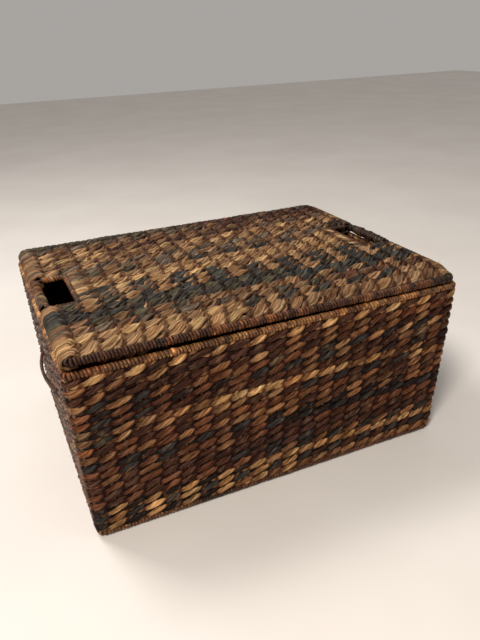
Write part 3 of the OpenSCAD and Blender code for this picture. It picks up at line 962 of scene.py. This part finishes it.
def build_bindings():
    rng = np.random.default_rng(53)
    rim = Skein()
    coil_r = rim_r - 1.3 * MM
    line, normal = ring_guide(half_l - coil_r, half_d - coil_r, rim_top - coil_r, corner_r)
    coil(rim, rng, line, normal, coil_r, 4.9 * MM, 1.8 * MM,
         {"gold": 5, "tan": 5, "umber": 3, "russet": 3}, (2, 9))
    rim.build("rim_binding_coil", wrap_leaf, "basket", "binding_tan", ["rim_binding"])

    foot = Skein()
    line, normal = ring_guide(foot_high[0] - foot_r, foot_high[1] - foot_r, foot_r + 0.6 * MM, corner_r)
    coil(foot, rng, line, normal, foot_r - 0.1 * MM, 5.0 * MM, 1.3 * MM,
         {"umber": 4, "tan": 3, "brown": 3, "dark": 1}, (6, 30), lumpy=0.06)
    foot.build("bottom_binding_coil", wrap_leaf, "basket", "binding_tan", ["bottom_binding"])

    long_r, long_z = middle(lid_front_low, lid_front_high)
    front_mix = {"brown": 4, "dark": 4, "plum": 3, "black": 2, "russet": 1.5, "umber": 0.8}
    back_mix = {"slate": 5, "green": 4, "dark": 2, "brown": 1.5}
    for name, quarters, lift, fat, pitch, thick, weights, runs, slot in (
        ("front", 0, 0.4 * MM, -0.6 * MM, 4.5 * MM, 2.0 * MM, front_mix, (2, 7), "binding_dark"),
        ("back", 2, 1.6 * MM, 1.6 * MM, 11 * MM, 1.9 * MM, back_mix, (3, 9), "binding_slate"),
    ):
        band = Skein()
        line, normal = side_line(
            rod_x, -lid_front_low[1] - long_r, 7.5 * MM, np.linspace(0, 1, 400), math.pi / 2)
        line[:, 2] = long_z + lift
        if name == "front":
            sag = front_sag(line[:, 0]) * front_share(line)
            line[:, 1] -= sag_forward * sag
            line[:, 2] -= sag
        line, normal = turn_quarters(line, quarters), turn_quarters(normal, quarters)
        coil(band, rng, line, normal, long_r + fat, pitch, thick, weights, runs)
        band.build(f"lid_{name}_binding_coil", dark_leaf, "lid", slot, [f"lid_{name}_binding"])

    hole_r, hole_z = middle(hole_low, hole_high)
    rod_in = hole_low[0] + hole_r
    leg_y = hole_high[1] - hole_r
    turn = hole_r + 2 * MM
    bend = np.linspace(0, math.pi / 2, 12)
    # The right hand hole's binding gets darker leaves than the left's, and its grip only black ones:
    # painted shade, as that hole lies in shadow
    hole_mix = {"left": {"umber": 4, "brown": 4, "tan": 2, "dark": 2},
                "right": {"dark": 4, "brown": 3, "black": 3}}
    grip_mix = {"left": {"grey": 4, "umber": 3, "brown": 3}, "right": {"black": 1}}
    for name, side in (("left", -1), ("right", 1)):
        hoop = Skein()
        leg = np.linspace(hole_high[0], rod_in + turn, 20)
        x = np.concatenate([leg, rod_in + turn * (1 - np.sin(bend))[1:]])
        y = np.concatenate([np.full(len(leg), leg_y), leg_y - turn * (1 - np.cos(bend))[1:]])
        down = np.linspace(y[-1], -y[-1], 30)[1:-1]
        x = np.concatenate([x, np.full(len(down), rod_in), x[::-1]])
        y = np.concatenate([y, down, -y[::-1]])
        line = xyz(side * x, y, hole_z)
        coil(hoop, rng, line, UP, hole_r, 5.0 * MM, 1.3 * MM, hole_mix[name], (4, 14))
        hoop.build(f"lid_{name}_hole_binding_coil", wrap_leaf, "lid", "weave_lid",
                   [f"lid_{name}_hole_binding"])

        grip = Skein()
        y = np.linspace(-grip_high[1], grip_high[1], 60)
        line = xyz(side * (rod_x + 2 * MM), y, rod_z + 3.0 * MM)
        grip_r = middle(grip_low, grip_high)[0] + 1.4 * MM
        coil(grip, rng, line, UP, grip_r, 8.5 * MM, 1.8 * MM, grip_mix[name], (2, 5), lumpy=0.14)
        grip.build(f"lid_{name}_grip_wrap", dark_leaf, "lid", "binding_dark", [f"lid_{name}_grip"])


# ---- bow handles


def bow_arc(reach, depth, r):
    """Radius and half-angle of a rod's bow, from how far its square-cut ends reach sideways and behind
    its crown's middle line."""
    half = 0.0
    for _ in range(6):
        half = 2 * math.atan2(depth - r * math.cos(half), reach - r * math.sin(half))
    return (reach - r * math.sin(half)) / math.sin(half), half


def build_handles():
    rng = np.random.default_rng(61)
    low, high = corners("right_handle")
    wrap_low, wrap_high = corners("right_handle_lashings")
    handle_r, handle_z = middle(low, high)
    wrap_r, _ = middle(wrap_low, wrap_high)
    crown_x = high[0] - handle_r
    bow_r, half = bow_arc(high[1], crown_x - low[0], handle_r)
    centre_x = crown_x - bow_r
    wrap_end = math.acos((wrap_high[0] - centre_x) / (bow_r + wrap_r))
    lash_mix = {"dark": 3, "black": 2, "brown": 2}

    def arc(side, angle):
        out = xyz(side * np.cos(angle), np.sin(angle), 0.0)
        return np.array([side * centre_x, 0, handle_z]) + bow_r * out, out

    for name, side in (("left", -1), ("right", 1)):
        angle = np.linspace(-half, half, 90)
        line, out = arc(side, angle)
        bow = Skein()
        knots = [1 + 0.10 * np.exp(-(((angle - at) / 0.016) ** 2)) for at in (0.13, -0.19)]
        r = handle_r * 0.96 * knots[0] * knots[1] * (1 + 0.03 * np.sin(angle * 31 + side))
        colour = LEAF["brown"] * (1 + 0.25 * np.sin(angle * 13 + side))[:, None]
        bow.strand(line, out, r, r, colour, 3.0 + side, ROUND_SECTION)
        bow.build(f"{name}_handle_bow", cane_skin, "basket", "cane", [f"{name}_handle"])
        lash = Skein()
        for end in (-1, 1):
            path, faces = arc(side, np.linspace(end * half, end * wrap_end, 20))
            coil(lash, rng, path, faces, wrap_r, 4.4 * MM, 1.0 * MM, lash_mix, (1, 3))
        lash.build(f"{name}_handle_lashing_wraps", wrap_leaf, "basket", "binding_dark",
                   [f"{name}_handle_lashings"])


# ---- loose fibres


fibre_r = 0.4 * MM
fibre_mix = ("tan", "umber", "brown", "dark")
fibre_count = 36


def loose_fibres(rng, skein, start, away, length):
    """Hair-thin ends of leaf that curl out of the weave at these points, and stay above the floor."""
    t = np.linspace(0, 1, 9)[:, None]
    for point, direction in zip(start, away):
        turn = rng.normal(0, 0.5, 3)
        heading = unit(direction + rng.normal(0, 0.55, 3))
        curl = unit(np.cross(heading, turn))
        reach = length * rng.uniform(0.5, 1.3)
        line = point + heading * reach * t + curl * reach * rng.uniform(0.1, 0.4) * t**2
        line[:, 2] = np.maximum(line[:, 2], fibre_r)
        r = fibre_r * rng.uniform(0.7, 1.3) * (1 - 0.75 * t[:, 0])
        name = fibre_mix[int(rng.integers(4))]
        skein.strand(line, curl, r, r, LEAF[name], rng.uniform(0, 9), FIBRE_SECTION)


def build_fibres():
    rng = np.random.default_rng(71)
    walls, lid = Skein(), Skein()
    count = fibre_count
    for sign in (-1, 1):
        y = rng.uniform(grip_high[1] + 10 * MM, lid_high[1] - 12 * MM, count) * rng.choice([-1, 1], count)
        around = rng.uniform(-1.0, 1.2, count)
        face = xyz(sign * np.cos(around), 0.0, np.sin(around))
        start = xyz(sign * rod_x, y, rod_z) + face * (edge_r - 2.5 * MM)
        loose_fibres(rng, lid, start, face, 6 * MM)
    for quarter in range(4):
        reach, depth = reach_depth(quarter, half_l, half_d)
        z = rng.uniform(12 * MM, rim_low[2], count)
        # A third of them stand along the foot
        z[: count // 3] = rng.uniform(6 * MM, 14 * MM, count // 3)
        lean = taper * (1 - z / rim_top)
        x = rng.uniform(-1, 1, count) * (reach - lean - 8 * MM)
        start = turn_quarters(xyz(x, -(depth - lean - 4 * MM), z), quarter)
        away = turn_quarters(xyz(0.0, -np.ones(count), 0.0), quarter)
        loose_fibres(rng, walls, start, away, 8 * MM)
    walls.build("wall_loose_fibres", wall_leaf, "basket", "weave_brown", [])
    lid.build("lid_loose_fibres", wall_leaf, "lid", "weave_lid", [])


build_walls()
build_base()
build_lid_ribs()
build_lid_weave()
build_bindings()
build_handles()
build_fibres()

# ---- floor, light and camera


def build_stage():
    """A pale floor just under the basket, soft light from all round and three lamps."""
    s = Shader("stage_floor")
    speck = s.noise(s.node("TexCoord").outputs["Object"], 3.0, 3.0, 0.5)
    pale = s.mix(s.span(speck, 0.3, 0.7, 0.0, 1.0), (0.74, 0.70, 0.66, 1), (0.78, 0.745, 0.705, 1))
    s.put(s.surface.inputs["Base Color"], pale)
    s.surface.inputs["Roughness"].default_value = 0.8
    bpy.ops.mesh.primitive_plane_add(size=12, location=(0, 0, -0.5 * MM))
    floor = bpy.context.object
    floor.name = "stage_floor"
    floor.data.materials.append(s.material)

    world = bpy.data.worlds.new("studio")
    world.use_nodes = True
    sky = world.node_tree.nodes["Background"]
    sky.inputs["Color"].default_value = (0.93, 0.88, 0.84, 1)
    sky.inputs["Strength"].default_value = 0.42
    bpy.context.scene.world = world

    for name, power, size, place, tint in (
        ("key", 40, 0.45, (-1.1, -1.3, 2.0), (1.0, 0.93, 0.84)),
        ("fill", 4.5, 1.6, (1.8, -1.6, 1.3), (1.0, 0.96, 0.92)),
        ("top", 31, 0.7, (-0.85, 0.8, 2.1), (1.0, 0.96, 0.92)),
    ):
        lamp = bpy.data.lights.new(name, "AREA")
        lamp.energy = power
        lamp.size = size
        lamp.color = tint
        made = bpy.data.objects.new(name, lamp)
        bpy.context.scene.collection.objects.link(made)
        made.location = place
        made.rotation_mode = "QUATERNION"
        made.rotation_quaternion = (Vector((0, 0, 0.15)) - Vector(place)).to_track_quat("-Z", "Y")


def build_camera():
    """The reference view, fitted to the lid's, the rim's and the foot's corners."""
    azimuth, down, roll = math.radians(-23.6), math.radians(25.95), math.radians(-2.0)
    place = (-0.355, -0.883, 0.646)
    level = math.cos(down)
    ahead = Vector((-math.sin(azimuth) * level, math.cos(azimuth) * level, -math.sin(down)))
    right = ahead.cross(Vector(UP)).normalized()
    up = right.cross(ahead)
    right_rolled = right * math.cos(roll) + up * math.sin(roll)
    up_rolled = right_rolled.cross(ahead)
    data = bpy.data.cameras.new("camera")
    data.sensor_width = 36
    data.lens = 34.1
    camera = bpy.data.objects.new("camera", data)
    bpy.context.scene.collection.objects.link(camera)
    turn = Matrix((right_rolled, up_rolled, -ahead)).transposed()
    camera.matrix_world = Matrix.Translation(place) @ turn.to_4x4()
    bpy.context.scene.camera = camera


build_stage()
build_camera()
bpy.context.scene.view_settings.view_transform = "Standard"
